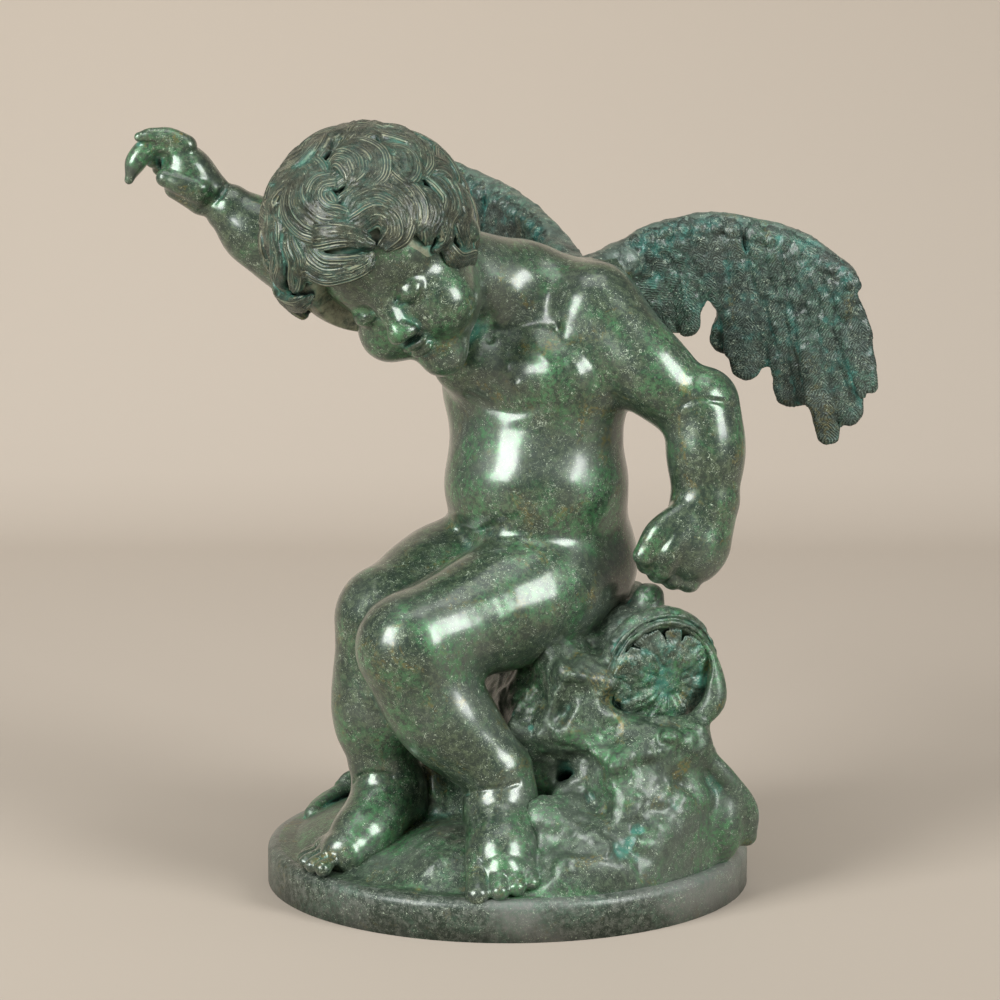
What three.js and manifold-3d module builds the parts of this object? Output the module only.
import * as THREE from 'three';
import Module from 'manifold-3d';
import { mergeVertices } from 'three/addons/utils/BufferGeometryUtils.js';

// A seated winged putto, cast in bronze in one piece with its rock and its round plinth.
// Millimetres, +Z up. The origin is the middle of the plinth's underside.
// A viewer who looks along +Y sees the figure bend its head to the left and stretch one arm past it.

// Driving dimensions
const figureHeight = 632; // from the plinth's top to the crown of the hair
const plinthRadius = 210;
const plinthHeight = 35;
const plinthEdge = 8; // radius of the plinth's upper edge
const groundInset = 9; // bare rim between the rocky ground and the plinth's edge
const groundRise = 1.2; // height of the ground's own edge above the plinth
const sunk = 8; // how far the ground runs down into the plinth
const quiverRadius = 52;
const quiverMouthRadius = 43;

// How finely the forms are blended and how many triangles carry them
const clayStep = 4;
const triangleBudget = 8600;

// The figure is drawn 632 units tall, so one unit is this many millimetres.
const drawnHeight = 632;
const unit = figureHeight / drawnHeight;

const vec = (x, y, z) => new THREE.Vector3(x, y, z);

// A point of the figure, in drawing units from the middle of the plinth's top.
const at = (x, y, z) => vec(x * unit, y * unit, plinthHeight + z * unit);

// Signed distances
// Each form has a box that holds it and a distance from its surface, below zero inside.

function form(low, high, distance) {
  return { low, high, distance };
}

function boxAround(points, reach) {
  const box = new THREE.Box3().setFromPoints(points).expandByScalar(reach);
  return [box.min, box.max];
}

// A rounded bar through the points, as thick at each as its radius says. sides is how many spans it gets.
function limb(points, radii, sides = 4) {
  const spans = (points.length - 1) * sides;
  const curve = new THREE.CatmullRomCurve3(points, false, 'catmullrom', 0.5);
  const centres = points.length > 2 ? [] : points;
  const sizes = points.length > 2 ? [] : radii.map((r) => r * unit);
  if (points.length > 2) {
    for (let i = 0; i <= spans; i++) {
      const t = (i / spans) * (points.length - 1);
      const k = Math.min(points.length - 2, Math.floor(t));
      const s = t - k;
      const smooth = s * s * (3 - 2 * s);
      centres.push(curve.getPoint(i / spans));
      sizes.push((radii[k] + (radii[k + 1] - radii[k]) * smooth) * unit);
    }
  }
  const [low, high] = boxAround(centres, Math.max(...sizes));
  return form(low, high, (x, y, z) => {
    let nearest = Infinity;
    for (let i = 0; i + 1 < centres.length; i++) {
      const a = centres[i];
      const b = centres[i + 1];
      const ux = b.x - a.x;
      const uy = b.y - a.y;
      const uz = b.z - a.z;
      const px = x - a.x;
      const py = y - a.y;
      const pz = z - a.z;
      const along = (px * ux + py * uy + pz * uz) / (ux * ux + uy * uy + uz * uz);
      const t = Math.min(1, Math.max(0, along));
      const away = Math.hypot(px - t * ux, py - t * uy, pz - t * uz);
      nearest = Math.min(nearest, away - sizes[i] - t * (sizes[i + 1] - sizes[i]));
    }
    return nearest;
  });
}

// An egg with its own three axes.
function egg(centre, radii, axes = [vec(1, 0, 0), vec(0, 1, 0), vec(0, 0, 1)]) {
  const [rx, ry, rz] = radii.map((r) => r * unit);
  const [low, high] = boxAround([centre], Math.max(rx, ry, rz));
  const [ex, ey, ez] = axes;
  return form(low, high, (x, y, z) => {
    const px = x - centre.x;
    const py = y - centre.y;
    const pz = z - centre.z;
    const u = (px * ex.x + py * ex.y + pz * ex.z) / rx;
    const v = (px * ey.x + py * ey.y + pz * ey.z) / ry;
    const w = (px * ez.x + py * ez.y + pz * ez.z) / rz;
    const near = Math.hypot(u, v, w);
    const slope = Math.hypot(u / rx, v / ry, w / rz);
    return slope > 0 ? (near * (near - 1)) / slope : -Math.min(rx, ry, rz);
  });
}

// A flat leaf from root to tip, bowed along normal, such as a feather or a petal.
function blade(root, tip, halfWidth, halfThickness, normal, bow = 0) {
  const along = tip.clone().sub(root);
  const length = along.length();
  along.normalize();
  const out = normal.clone().addScaledVector(along, -normal.dot(along)).normalize();
  const side = out.clone().cross(along);
  const [low, high] = boxAround([root, tip], (halfWidth + Math.abs(bow)) * unit);
  const wide = halfWidth * unit;
  const thick = halfThickness * unit;
  return form(low, high, (x, y, z) => {
    const px = x - root.x;
    const py = y - root.y;
    const pz = z - root.z;
    const reach = px * along.x + py * along.y + pz * along.z;
    const t = Math.min(1, Math.max(0, reach / length));
    const bowed = bow * unit * 4 * t * (1 - t);
    const flank = px * side.x + py * side.y + pz * side.z;
    const rise = px * out.x + py * out.y + pz * out.z - bowed;
    const past = reach < 0 ? reach : Math.max(0, reach - length + wide * 0.8);
    const spread = Math.hypot(flank, past) / wide;
    const level = Math.hypot(spread, rise / thick);
    return (level - 1) * (spread > Math.abs(rise / thick) ? Math.min(wide, thick * 2) : thick);
  });
}

// Clay
// The forms are blended on a grid, where each soft join has its own width.

function smoothLow(a, b, width) {
  const overlap = Math.max(0, width - Math.abs(a - b)) / width;
  return Math.min(a, b) - (overlap * overlap * width) / 4;
}

class Clay {
  constructor(low, high, step) {
    this.low = low;
    this.step = step;
    this.count = [high.x - low.x, high.y - low.y, high.z - low.z].map((s) => Math.ceil(s / step) + 1);
    this.values = new Float32Array(this.count[0] * this.count[1] * this.count[2]).fill(1000);
  }

  // Visits the grid points that a form can change.
  visit(shape, margin, change) {
    const [nx, ny, nz] = this.count;
    const first = (value, from) => Math.max(0, Math.floor((value - margin - from) / this.step));
    const last = (value, from, n) => Math.min(n - 1, Math.ceil((value + margin - from) / this.step));
    for (let k = first(shape.low.z, this.low.z); k <= last(shape.high.z, this.low.z, nz); k++) {
      for (let j = first(shape.low.y, this.low.y); j <= last(shape.high.y, this.low.y, ny); j++) {
        const row = (k * ny + j) * nx;
        for (let i = first(shape.low.x, this.low.x); i <= last(shape.high.x, this.low.x, nx); i++) {
          const d = shape.distance(
            this.low.x + i * this.step,
            this.low.y + j * this.step,
            this.low.z + k * this.step,
          );
          this.values[row + i] = change(this.values[row + i], d);
        }
      }
    }
  }

  add(shape, soft = 6) {
    const width = soft * unit;
    this.visit(shape, width + 3 * this.step, (old, d) => smoothLow(old, d, width));
  }

  cut(shape, soft = 4) {
    const width = soft * unit;
    this.visit(shape, width, (old, d) => -smoothLow(-old, d, width));
  }

  // Fills the squares of the grid that touch only corner to corner, so that the surface stays one sheet.
  settle() {
    const [nx, ny] = this.count;
    const v = this.values;
    const steps = [1, nx, nx * ny];
    for (let round = 0; round < 12; round++) {
      let changed = 0;
      for (let c = 0; c + steps[2] + nx + 1 < v.length; c++) {
        if (Math.abs(v[c]) > 4 * this.step) continue;
        for (const [a, b] of [[0, 1], [0, 2], [1, 2]]) {
          const near = c + steps[a];
          const far = c + steps[b];
          const last = near + steps[b];
          if (v[c] < 0 === v[last] < 0 && v[near] < 0 === v[far] < 0 && v[c] < 0 !== v[near] < 0) {
            const pair = v[c] < 0 ? [near, far] : [c, last];
            v[v[pair[0]] < v[pair[1]] ? pair[0] : pair[1]] = -0.02 * this.step;
            changed++;
          }
        }
      }
      if (changed === 0) break;
    }
  }

  // Fills the pockets that no way leads out of.
  fillPockets() {
    const [nx, ny, nz] = this.count;
    const open = new Uint8Array(this.values.length);
    const queue = [0];
    open[0] = 1;
    while (queue.length > 0) {
      const c = queue.pop();
      const place = [c % nx, Math.floor(c / nx) % ny, Math.floor(c / (nx * ny))];
      [1, nx, nx * ny].forEach((stride, axis) => {
        for (const way of [-1, 1]) {
          const there = place[axis] + way;
          const n = c + way * stride;
          if (there < 0 || there >= [nx, ny, nz][axis] || open[n] || this.values[n] < 0) continue;
          open[n] = 1;
          queue.push(n);
        }
      });
    }
    for (let c = 0; c < open.length; c++) if (!open[c] && this.values[c] >= 0) this.values[c] = -this.step;
  }

  // The surface where the field is zero, with one vertex in each cell that it crosses.
  surface() {
    const [nx, ny, nz] = this.count;
    const v = this.values;
    const corner = (i, j, k) => (k * ny + j) * nx + i;
    const offsets = [];
    for (let c = 0; c < 8; c++) offsets.push([c & 1, (c >> 1) & 1, c >> 2]);
    const edges = [];
    for (let a = 0; a < 8; a++) for (const bit of [1, 2, 4]) if (!(a & bit)) edges.push([a, a | bit]);
    const cell = new Int32Array(v.length).fill(-1);
    const points = [];
    for (let k = 0; k < nz - 1; k++) {
      for (let j = 0; j < ny - 1; j++) {
        for (let i = 0; i < nx - 1; i++) {
          if (Math.abs(v[corner(i, j, k)]) > 6 * this.step) continue;
          const d = offsets.map(([x, y, z]) => v[corner(i + x, j + y, k + z)]);
          const inside = d.filter((value) => value < 0).length;
          if (inside === 0 || inside === 8) continue;
          const sum = [0, 0, 0];
          let hits = 0;
          for (const [a, b] of edges) {
            if (d[a] < 0 === d[b] < 0) continue;
            const t = d[a] / (d[a] - d[b]);
            for (let axis = 0; axis < 3; axis++) {
              sum[axis] += offsets[a][axis] + t * (offsets[b][axis] - offsets[a][axis]);
            }
            hits++;
          }
          cell[corner(i, j, k)] = points.length;
          points.push([
            this.low.x + (i + sum[0] / hits) * this.step,
            this.low.y + (j + sum[1] / hits) * this.step,
            this.low.z + (k + sum[2] / hits) * this.step,
          ]);
        }
      }
    }
    const triangles = [];
    const quad = (a, b, c, d, turned) => {
      if (turned) triangles.push([a, b, c], [a, c, d]);
      else triangles.push([a, c, b], [a, d, c]);
    };
    for (let k = 1; k < nz - 1; k++) {
      for (let j = 1; j < ny - 1; j++) {
        for (let i = 1; i < nx - 1; i++) {
          const here = v[corner(i, j, k)] < 0;
          const at4 = (di, dj, dk) => cell[corner(i - di, j - dj, k - dk)];
          if (here !== v[corner(i + 1, j, k)] < 0) {
            quad(at4(0, 1, 1), at4(0, 0, 1), at4(0, 0, 0), at4(0, 1, 0), here);
          }
          if (here !== v[corner(i, j + 1, k)] < 0) {
            quad(at4(1, 0, 1), at4(1, 0, 0), at4(0, 0, 0), at4(0, 0, 1), here);
          }
          if (here !== v[corner(i, j, k + 1)] < 0) {
            quad(at4(1, 1, 0), at4(0, 1, 0), at4(0, 0, 0), at4(1, 0, 0), here);
          }
        }
      }
    }
    return { points, triangles };
  }
}

// Thinning
// Edges are folded in order of cost, which is how far a fold leaves the planes around it.

class Heap {
  constructor() {
    this.items = [];
  }

  push(item) {
    const list = this.items;
    let i = list.push(item) - 1;
    while (i > 0) {
      const parent = (i - 1) >> 1;
      if (list[parent].cost <= item.cost) break;
      list[i] = list[parent];
      i = parent;
    }
    list[i] = item;
  }

  pop() {
    const list = this.items;
    const top = list[0];
    const item = list.pop();
    if (list.length === 0) return top;
    let i = 0;
    for (;;) {
      let child = 2 * i + 1;
      if (child >= list.length) break;
      if (child + 1 < list.length && list[child + 1].cost < list[child].cost) child++;
      if (list[child].cost >= item.cost) break;
      list[i] = list[child];
      i = child;
    }
    list[i] = item;
    return top;
  }
}

// A quadric holds the squared distance from a set of planes, weighted by area.
function planeQuadric(normal, point, weight) {
  const [a, b, c] = normal;
  const d = -(a * point[0] + b * point[1] + c * point[2]);
  return [a * a, a * b, a * c, a * d, b * b, b * c, b * d, c * c, c * d, d * d].map((q) => q * weight);
}

function quadricAt(q, [x, y, z]) {
  return (
    q[0] * x * x + q[4] * y * y + q[7] * z * z + q[9]
    + 2 * (q[1] * x * y + q[2] * x * z + q[5] * y * z + q[3] * x + q[6] * y + q[8] * z)
  );
}

function crossOf(a, b, c) {
  const [ux, uy, uz] = [b[0] - a[0], b[1] - a[1], b[2] - a[2]];
  const [vx, vy, vz] = [c[0] - a[0], c[1] - a[1], c[2] - a[2]];
  return [uy * vz - uz * vy, uz * vx - ux * vz, ux * vy - uy * vx];
}

// The point of least cost near an edge: the quadric's own lowest point, or the best of ends and middle.
function foldPoint(q, a, b) {
  const middle = a.map((value, axis) => (value + b[axis]) / 2);
  const matrix = new THREE.Matrix3().set(q[0], q[1], q[2], q[1], q[4], q[5], q[2], q[5], q[7]);
  const size = Math.cbrt(Math.abs(matrix.determinant()));
  if (size > 0.02 * (q[0] + q[4] + q[7])) {
    const p = vec(-q[3], -q[6], -q[8]).applyMatrix3(matrix.invert());
    const away = Math.hypot(p.x - middle[0], p.y - middle[1], p.z - middle[2]);
    const length = Math.hypot(a[0] - b[0], a[1] - b[1], a[2] - b[2]);
    if (away < length) return [p.x, p.y, p.z];
  }
  return [a, b, middle].sort((p, r) => quadricAt(q, p) - quadricAt(q, r))[0];
}

function thin({ points, triangles }, budget) {
  const around = points.map(() => new Set());
  const quadrics = points.map(() => new Array(10).fill(0));
  triangles.forEach((triangle, index) => {
    const [a, b, c] = triangle.map((p) => points[p]);
    const cross = crossOf(a, b, c);
    const twice = Math.hypot(...cross);
    for (const p of triangle) around[p].add(index);
    if (twice === 0) return;
    const q = planeQuadric(cross.map((value) => value / twice), a, twice);
    for (const p of triangle) q.forEach((value, i) => (quadrics[p][i] += value));
  });
  const version = new Int32Array(points.length);
  const neighbours = (p) => {
    const found = new Set();
    for (const index of around[p]) for (const other of triangles[index]) if (other !== p) found.add(other);
    return found;
  };
  const heap = new Heap();
  const offer = (a, b) => {
    const q = quadrics[a].map((value, i) => value + quadrics[b][i]);
    const point = foldPoint(q, points[a], points[b]);
    const length = Math.hypot(...points[a].map((value, axis) => value - points[b][axis]));
    heap.push({ a, b, q, point, stamp: version[a] + version[b], cost: quadricAt(q, point) + 0.002 * length ** 2 });
  };
  const turns = (p, gone, point) => {
    for (const index of around[p]) {
      if (triangles[index].includes(gone)) continue;
      const old = triangles[index].map((k) => points[k]);
      const moved = triangles[index].map((k) => (k === p ? point : points[k]));
      const before = crossOf(...old);
      const after = crossOf(...moved);
      const dot = before[0] * after[0] + before[1] * after[1] + before[2] * after[2];
      const size = Math.hypot(...after);
      if (dot < 0.3 * Math.hypot(...before) * size || size < 0.5) return true;
    }
    return false;
  };
  for (let p = 0; p < points.length; p++) for (const other of neighbours(p)) if (p < other) offer(p, other);
  let left = triangles.length;
  while (left > budget && heap.items.length > 0) {
    const { a, b, q, point, stamp } = heap.pop();
    if (version[a] < 0 || version[b] < 0 || stamp !== version[a] + version[b]) continue;
    const besideB = neighbours(b);
    const shared = [...neighbours(a)].filter((p) => besideB.has(p));
    if (!besideB.has(a) || shared.length !== 2) continue;
    if (turns(a, b, point) || turns(b, a, point)) continue;
    for (const index of [...around[b]]) {
      const triangle = triangles[index];
      if (triangle.includes(a)) {
        for (const p of triangle) around[p].delete(index);
        triangles[index] = null;
        left--;
      } else {
        triangle[triangle.indexOf(b)] = a;
        around[a].add(index);
      }
    }
    points[a] = point;
    quadrics[a] = q;
    version[a]++;
    version[b] = -1e9;
    for (const p of neighbours(a)) offer(a, p);
  }
  return { points, triangles: triangles.filter((triangle) => triangle !== null) };
}

// The figure
// The figure's left is the viewer's right.

// The clay's box holds the figure and the plinth's ground at any size.
const groundReach = plinthRadius + 5 * clayStep;
const clayLow = vec(-groundReach, -groundReach, plinthHeight - sunk - 2 * clayStep).min(at(-372, -260, 0));
const clayHigh = vec(groundReach, groundReach, 0).max(at(352, 340, 655));
const clay = new Clay(clayLow, clayHigh, clayStep);

// Three axes from a way up and a way forward: left, forward, up.
function axesOf(up, forward) {
  const top = up.clone().normalize();
  const front = forward.clone().addScaledVector(top, -forward.dot(top)).normalize();
  return [top.clone().cross(front), front, top];
}

const torsoAxes = axesOf(vec(0, 0, 1), vec(-0.57, -0.82, 0));
const hipAxes = axesOf(vec(0, 0, 1), vec(-0.77, -0.64, 0));

function torso() {
  clay.add(egg(at(36, 32, 250), [74, 74, 62], hipAxes), 20);
  clay.add(egg(at(25, 11, 312), [81, 78, 78], torsoAxes), 24);
  clay.add(egg(at(24, 14, 400), [88, 66, 84], torsoAxes), 26);
  clay.add(limb([at(-34, 50, 482), at(16, 26, 474), at(74, -10, 468)], [37, 40, 37]), 24);
  clay.add(limb([at(6, 14, 480), at(-66, -34, 506)], [42, 38]), 22);
  clay.add(egg(at(-34, -22, 420), [34, 22, 26], torsoAxes), 20);
  clay.add(egg(at(34, -38, 414), [38, 22, 26], torsoAxes), 20);
}

// Toes as root, tip and radius, from the big one outwards.
const leftToes = [
  [[-28, -170, 26], [-25, -200, 1], 9.5],
  [[-12, -172, 27], [-4, -201, 6], 7.5],
  [[2, -170, 28], [8, -194, 9], 6.8],
  [[14, -166, 29], [20, -185, 12], 6.4],
  [[25, -160, 29], [30, -174, 15], 5.8],
];
const rightToes = [
  [[-139, -116, 15], [-154, -134, 9], 8.5],
  [[-149, -110, 15], [-165, -126, 9], 7.5],
  [[-156, -102, 14], [-172, -114, 9], 7],
  [[-158, -93, 14], [-175, -102, 9], 6.5],
  [[-158, -84, 14], [-173, -90, 9], 6],
];

function toes(list) {
  list.forEach(([root, tip, r]) => clay.add(limb([at(...root), at(...tip)], [r, r]), 3));
}

function leftLeg() {
  clay.add(limb([at(54, 14, 236), at(18, -38, 223), at(-78, -106, 196)], [57, 58, 44]), 14);
  clay.add(limb([at(-84, -108, 190), at(-58, -104, 138), at(-12, -108, 88)], [43, 43, 31]), 14);
  clay.add(limb([at(-8, -107, 84), at(-6, -110, 60), at(-6, -106, 38)], [30, 32, 30]), 8);
  clay.add(limb([at(-6, -116, 46), at(-5, -148, 28), at(-4, -170, 17)], [31, 31, 21]), 8);
  clay.add(egg(at(-2, -166, 14), [35, 25, 19]), 8);
  toes(leftToes);
}

function rightLeg() {
  clay.add(limb([at(14, 68, 232), at(-44, 20, 226), at(-104, -38, 208)], [57, 54, 41]), 14);
  clay.add(limb([at(-106, -42, 200), at(-110, -44, 130), at(-108, -48, 82)], [40, 42, 30]), 14);
  clay.add(limb([at(-108, -48, 80), at(-102, -46, 60), at(-92, -36, 29)], [29, 31, 29]), 8);
  clay.add(limb([at(-102, -52, 50), at(-121, -84, 27), at(-139, -108, 16)], [30, 28, 18]), 8);
  clay.add(limb([at(-136, -114, 15), at(-154, -92, 13)], [15, 12]), 8);
  toes(rightToes);
}

function leftArm() {
  clay.add(limb([at(74, -12, 462), at(114, -34, 422), at(150, -38, 390)], [40, 37, 32]), 14);
  clay.add(limb([at(164, -40, 388), at(168, -44, 352), at(168, -48, 313)], [33, 34.5, 28.5]), 8);
  clay.add(limb([at(168, -49, 306), at(160, -51, 276)], [28, 31]), 8);
  clay.add(egg(at(157, -52, 267), [29, 30, 32]), 8);
  clay.add(limb([at(150, -66, 300), at(128, -74, 284), at(115, -76, 264)], [12, 12, 9.5]), 6);
  clay.add(limb([at(150, -68, 290), at(137, -76, 270), at(131, -72, 252)], [14, 12.5, 10]), 5);
  const knuckles = [[128, -58, 247, 10], [141, -56, 241, 10], [154, -54, 238, 10], [118, -64, 255, 9]];
  knuckles.forEach(([x, y, z, r]) => clay.add(egg(at(x, y, z), [r * 1.05, r * 1.5, r]), 3));
}

function rightArm() {
  clay.add(limb([at(-34, 52, 484), at(-105, 54, 486), at(-174, 50, 502)], [40, 38, 33]), 16);
  clay.add(limb([at(-178, 50, 500), at(-214, 47, 524), at(-240, 44, 547)], [34, 31, 22]), 10);
  clay.add(limb([at(-259, 43, 561), at(-274, 41, 577), at(-286, 39, 596)], [19.5, 22, 15]), 4);
  clay.add(limb([at(-265, 38, 555), at(-285, 32, 566)], [12, 10]), 6);
  const fingers = [
    [[[-276, 34, 602], [-290, 32, 609], [-304, 30, 612], [-316, 28, 610]], [10, 9, 6.5, 5]],
    [[[-289, 42, 601], [-308, 38, 601], [-319, 34, 590], [-326, 32, 573]], [9, 9, 9, 5.5]],
    [[[-287, 52, 596], [-300, 50, 601], [-306, 48, 589]], [8, 7, 6]],
    [[[-288, 60, 588], [-298, 58, 592], [-301, 56, 581]], [8, 7, 6]],
    [[[-266, 28, 565], [-280, 24, 570], [-294, 24, 575]], [12, 10, 8]],
  ];
  fingers.forEach(([joints, radii]) => clay.add(limb(joints.map((p) => at(...p)), radii), 2));
}

// The head
// Its own points count left, forward and up from the middle of the skull.

const headCentre = at(-106, -77, 536);
const headAxes = axesOf(vec(-0.637, -0.355, 0.684), vec(-0.15, -0.814, -0.563));

function onHead(left, forward, up) {
  const [l, f, u] = headAxes;
  return headCentre.clone()
    .addScaledVector(l, left * unit)
    .addScaledVector(f, forward * unit)
    .addScaledVector(u, up * unit);
}

function face() {
  const feature = (left, forward, up, radii, soft) => clay.add(egg(onHead(left, forward, up), radii, headAxes), soft);
  feature(0, 0, 0, [64, 68, 78], 8);
  feature(0, 34, 4, [48, 36, 50], 14);
  feature(2, 23, -56, [50, 49, 52], 16);
  for (const side of [1, -1]) {
    feature(side * 29, 47, -58, [27, 27, 27], 14);
    feature(side * 70, -4, -32, [8, 14, 20], 4);
    clay.cut(egg(onHead(side * 24, 79, -24), [14, 11, 8], headAxes), 12);
    feature(side * 24, 59, -26, [13, 13, 10], 4);
    feature(side * 8, 78, -50, [6, 6, 5], 4);
  }
  feature(0, 56, -96, [22, 22, 19], 12);
  clay.add(limb([onHead(0, 64, -14), onHead(0, 78, -40)], [6, 7]), 12);
  feature(0, 82, -46, [9, 8, 7], 6);
  feature(0, 77, -64, [13, 6, 4.5], 5);
  feature(0, 75, -73, [11, 6, 5], 5);
}

// Locks of hair lie in rings around the crown.
// turn is the way round from the brow and drop the way down from the crown, both in degrees.
function lock({ turn, drop, length, sweep, width }) {
  const points = [];
  const bends = 4;
  for (let i = 0; i <= bends; i++) {
    const t = i / bends;
    const down = THREE.MathUtils.degToRad(drop + length * t - Math.abs(sweep) * 0.4 * t * t);
    const around = sweep * (Math.sin(t * Math.PI * 0.9) + 0.5 * t) / Math.max(0.4, Math.sin(down));
    const a = THREE.MathUtils.degToRad(turn + around);
    points.push(onHead(
      hairShell[0] * Math.sin(down) * Math.sin(a) + hairCentre[0],
      hairShell[1] * Math.sin(down) * Math.cos(a) + hairCentre[1],
      hairShell[2] * Math.cos(down) + hairCentre[2],
    ));
  }
  const radii = [0.75, 1, 1, 0.8, 0.4].map((share) => share * width);
  clay.add(limb(points, radii, 3), 2.5);
}

const hairCentre = [-12, -6, 3];
const hairShell = [82, 88, 84];
const hairRings = [
  { drop: 2, count: 6, length: 34, width: 13, sweep: 24, first: 0, last: 300 },
  { drop: 26, count: 12, length: 30, width: 13, sweep: 18, first: 10, last: 340 },
  { drop: 50, count: 13, length: 28, width: 12, sweep: -18, first: 52, last: 318 },
  { drop: 72, count: 11, length: 28, width: 12, sweep: 16, first: 74, last: 296 },
  { drop: 96, count: 9, length: 26, width: 12, sweep: -15, first: 78, last: 288 },
  { drop: 120, count: 6, length: 18, width: 11, sweep: 12, first: 118, last: 246 },
];

// Long commas that fall over the brow and beside the cheeks, from the figure's right to its left.
const fringe = [
  { turn: -96, drop: 60, length: 62, sweep: -8, width: 13 },
  { turn: -76, drop: 50, length: 58, sweep: 8, width: 12 },
  { turn: -56, drop: 44, length: 44, sweep: 14, width: 12 },
  { turn: -38, drop: 38, length: 40, sweep: 20, width: 12 },
  { turn: -14, drop: 36, length: 38, sweep: -18, width: 13 },
  { turn: 6, drop: 34, length: 30, sweep: 18, width: 12 },
  { turn: 30, drop: 40, length: 30, sweep: -16, width: 12 },
  { turn: 48, drop: 46, length: 44, sweep: 14, width: 12 },
  { turn: 70, drop: 50, length: 52, sweep: -10, width: 12 },
  { turn: 88, drop: 62, length: 48, sweep: 8, width: 12 },
];

function hair() {
  clay.add(egg(onHead(...hairCentre), hairShell, headAxes), 3);
  clay.cut(egg(onHead(0, 88, -34), [56, 44, 58], headAxes), 6);
}

function locks() {
  for (const ring of hairRings) {
    for (let i = 0; i < ring.count; i++) {
      const turn = ring.first + ((ring.last - ring.first) * i) / (ring.count - 1);
      lock({ ...ring, turn, sweep: ring.sweep * (i % 2 ? 1 : 0.6) });
    }
  }
  fringe.forEach(lock);
}

// The wings
// A wing is drawn in a plane seen by the viewer: across, up. Its hollow face looks forward.

const wingRoot = [66, 496];
const wingEdge = [
  [66, 500], [86, 511], [101, 517], [117, 527], [142, 536], [168, 540], [190, 540], [221, 536], [242, 530],
  [259, 523], [278, 511], [293, 502], [303, 488],
];
// The feathers' tips with their half widths and the share of the edge they start from.
const feathers = [
  [316, 389, 12, 0.97], [303, 357, 14, 0.9], [281, 340, 15, 0.8], [251, 370, 17, 0.69], [208, 394, 18, 0.57],
  [186, 417, 14, 0.46], [162, 434, 12, 0.36], [146, 435, 12, 0.26],
];

function leftWingPoint(across, up, depth = 0) {
  const share = (across - wingRoot[0]) / 250;
  return at(across, 44 + 34 * Math.sin(Math.PI * Math.min(1, share)) + depth, up);
}

// The other wing is folded back beside the head and lifted more towards its tip.
function rightWingPoint(across, up, depth = 0) {
  const reach = across - wingRoot[0];
  const [wx, wy] = [-0.62, 0.785];
  const bow = 26 * Math.sin(Math.PI * Math.min(1, reach / 250)) + depth;
  return at(57 + wx * reach + wy * bow, 50 + wy * reach - wx * bow, up + 0.0024 * Math.max(0, reach - 45) ** 2);
}

function wing(place) {
  const edge = new THREE.CatmullRomCurve3(wingEdge.map(([x, z]) => vec(x, 0, z)));
  const front = place(170, 460, -1).sub(place(170, 460, 0)).normalize();
  const ridge = [15, 14, 13, 12.5, 12, 12, 12, 11.5, 11, 11, 10.5, 9, 7];
  clay.add(limb(wingEdge.map(([x, z]) => place(x, z - 11)), ridge, 2), 8);
  clay.add(limb([place(60, 480, -20), place(104, 500, -2)], [22, 15]), 16);
  feathers.forEach(([x, z, wide, share], i) => {
    const start = edge.getPoint(share);
    const root = place(start.x - 6, start.z - 18, i % 2 ? 2 : -2);
    clay.add(blade(root, place(x, z, i % 2 ? 3 : -3), wide * 1.15, 6, front), 3);
    const inner = edge.getPoint(share - 0.05);
    const [nx, nz] = feathers[Math.min(7, i + 1)];
    if (i < 5) clay.add(blade(place(inner.x - 6, inner.z - 18), place((x + nx) / 2, (z + nz) / 2 + 14), 15, 6, front), 3);
    clay.add(blade(
      place(start.x - 3, start.z - 12, -6),
      place(start.x + (x - start.x) * 0.55, start.z + (z - start.z) * 0.55, -5),
      16, 5.5, front,
    ), 3);
  });
  clay.cut(limb([place(184, 424), place(176, 462)], [7, 3]), 2);
}

// The seat
// Rock, ground, an upturned quiver on the figure's left and a fold of cloth that hangs from it.

function rock() {
  clay.add(limb([at(76, 60, 14), at(72, 56, 90), at(64, 40, 150)], [112, 100, 82]), 20);
  clay.add(limb([at(20, 30, 20), at(10, 0, 60)], [80, 60]), 20);
  const lumps = [
    [56, -74, 148, 40], [34, -44, 124, 48], [74, -50, 104, 50], [62, -122, 26, 46], [104, -92, 70, 46],
    [140, -70, 62, 42], [122, -116, 22, 44], [158, -84, 42, 36], [74, -146, 2, 42], [-44, -112, 2, 38],
    [-60, -10, 46, 38], [104, 96, 60, 66], [-30, 110, 10, 58], [136, 40, 40, 50], [60, 146, 12, 46], [-90, 40, 0, 44],
  ];
  lumps.forEach(([x, y, z, r]) => clay.add(egg(at(x, y, z), [r, r, r * 0.8]), 14));
  clay.cut(egg(at(44, -128, 92), [34, 32, 20]), 12);
}

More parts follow.
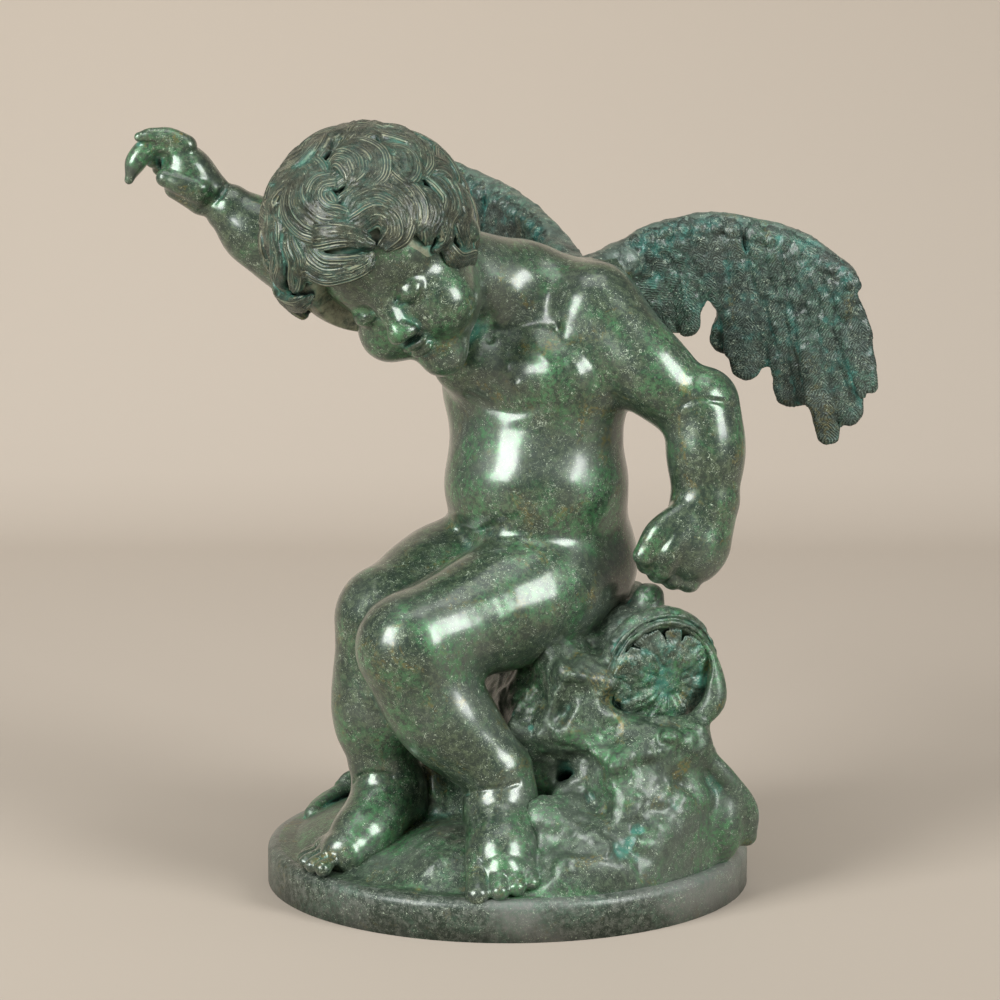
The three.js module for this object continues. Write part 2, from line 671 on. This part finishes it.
function quiver() {
  const mouth = at(129, -73, 167);
  const outward = vec(0.35, -0.92, -0.16).normalize();
  const shell = quiverRadius / unit;
  const back = mouth.clone().addScaledVector(outward, -shell * unit).add(vec(0, 0, -12 * unit));
  clay.add(limb([at(92, 60, 162), back], [shell * 0.76, shell * 0.96]), 8);
  const axes = axesOf(outward, vec(0, 0, 1));
  const disc = (reach, radius, depth) => egg(mouth.clone().addScaledVector(outward, reach * unit), [radius, radius, depth], axes);
  clay.add(disc(-6, shell, 24), 6);
  clay.cut(disc(17, quiverMouthRadius / unit, 16), 4);
  // Petals of arrow feathers spread in the mouth: angle, reach and half width.
  const petals = [
    [14, 38, 11], [38, 40, 10], [62, 42, 10], [88, 46, 11], [118, 50, 13], [150, 52, 16], [180, 48, 13],
    [205, 46, 9], [226, 43, 7], [246, 40, 6.5], [266, 38, 6.5], [288, 36, 8], [316, 34, 11], [346, 36, 11],
  ];
  const middle = mouth.clone().addScaledVector(axes[0], -6 * unit).addScaledVector(axes[1], -11 * unit);
  for (const [degrees, reach, wide] of petals) {
    const angle = THREE.MathUtils.degToRad(degrees);
    const out = axes[1].clone().multiplyScalar(Math.sin(angle)).addScaledVector(axes[0], -Math.cos(angle));
    const root = middle.clone().addScaledVector(outward, 10 * unit).addScaledVector(out, 3 * unit);
    clay.add(blade(root, middle.clone().addScaledVector(outward, 11 * unit).addScaledVector(out, reach * unit), wide, 5, outward), 2);
  }
  clay.add(egg(at(121, -24, 219), [12, 13, 13]), 5);
}

function cloth() {
  const folds = [
    [[[150, -60, 198], [168, -70, 172], [175, -78, 142], [160, -86, 122]], [10, 11, 11, 9]],
    [[[146, -92, 120], [166, -94, 97], [187, -88, 72], [204, -74, 44], [205, -66, 18]], [8, 8, 9, 10, 9]],
    [[[130, -92, 124], [146, -100, 92], [158, -102, 60]], [10, 12, 12]],
  ];
  folds.forEach(([points, radii]) => clay.add(limb(points.map((p) => at(...p)), radii), 10));
  clay.add(egg(at(184, -79, 34), [18, 23, 34]), 10);
}

function ground() {
  const reach = (plinthRadius - groundInset) / unit;
  clay.add(egg(at(18, 8, -14), [reach + 12, reach + 12, 50]), 24);
  const rim = (x, y) => Math.hypot(x, y) - (plinthRadius - groundInset);
  const low = clayLow;
  const high = clayHigh.clone().setZ(plinthHeight);
  clay.cut(form(low, clayHigh, (x, y) => -rim(x, y)), 8);
  clay.add(form(low, high, (x, y, z) => Math.max(rim(x, y), z - plinthHeight - groundRise)), 1);
  clay.cut(form(low, high, (x, y, z) => z - plinthHeight + sunk), 1);
  const tail = [[-60, 70, 18], [-112, 104, 18], [-143, 112, 17], [-159, 96, 14], [-169, 80, 10], [-175, 64, 7]];
  clay.add(limb(tail.map((p) => at(...p)), [16, 10, 8.5, 8, 8, 7]), 4);
}

// The plinth
// A round slab with a softened upper edge, turned about its own axis.

function plinth() {
  const profile = [new THREE.Vector2(0, 0), new THREE.Vector2(plinthRadius, 0)];
  for (let i = 0; i <= 3; i++) {
    const angle = (i / 3) * (Math.PI / 2);
    const inner = plinthRadius - plinthEdge;
    profile.push(new THREE.Vector2(
      inner + plinthEdge * Math.cos(angle),
      plinthHeight - plinthEdge + plinthEdge * Math.sin(angle),
    ));
  }
  profile.push(new THREE.Vector2(0, plinthHeight));
  return new THREE.LatheGeometry(profile, 72).rotateX(Math.PI / 2);
}

rock();
ground();
torso();
leftLeg();
rightLeg();
wing(leftWingPoint);
wing(rightWingPoint);
leftArm();
rightArm();
quiver();
cloth();
hair();
face();
locks();
clay.settle();
clay.fillPockets();
const figure = thin(clay.surface(), triangleBudget);

// Joining

const wasm = await Module();
wasm.setup();

function solidFrom(vertices, faces) {
  const mesh = new wasm.Mesh({ numProp: 3, vertProperties: new Float32Array(vertices), triVerts: new Uint32Array(faces) });
  return new wasm.Manifold(mesh);
}

function solidOfGeometry(geometry) {
  geometry.deleteAttribute('normal');
  geometry.deleteAttribute('uv');
  const merged = mergeVertices(geometry, 1e-4);
  return solidFrom(merged.attributes.position.array, merged.index.array);
}

function geometryOf(solid) {
  const { vertProperties, triVerts } = solid.getMesh();
  const geometry = new THREE.BufferGeometry();
  geometry.setAttribute('position', new THREE.BufferAttribute(vertProperties, 3));
  geometry.setIndex(new THREE.BufferAttribute(triVerts, 1));
  geometry.computeVertexNormals();
  return geometry;
}

const cast = solidFrom(figure.points.flat(), figure.triangles.flat()).add(solidOfGeometry(plinth()));

const bronze = new THREE.MeshStandardMaterial({ color: '#2f4a3b', roughness: 0.38, metalness: 0.85 });

const statue = new THREE.Mesh(geometryOf(cast), bronze);
statue.name = 'putto_statue';

const model = new THREE.Group();
model.add(statue);

export default model;
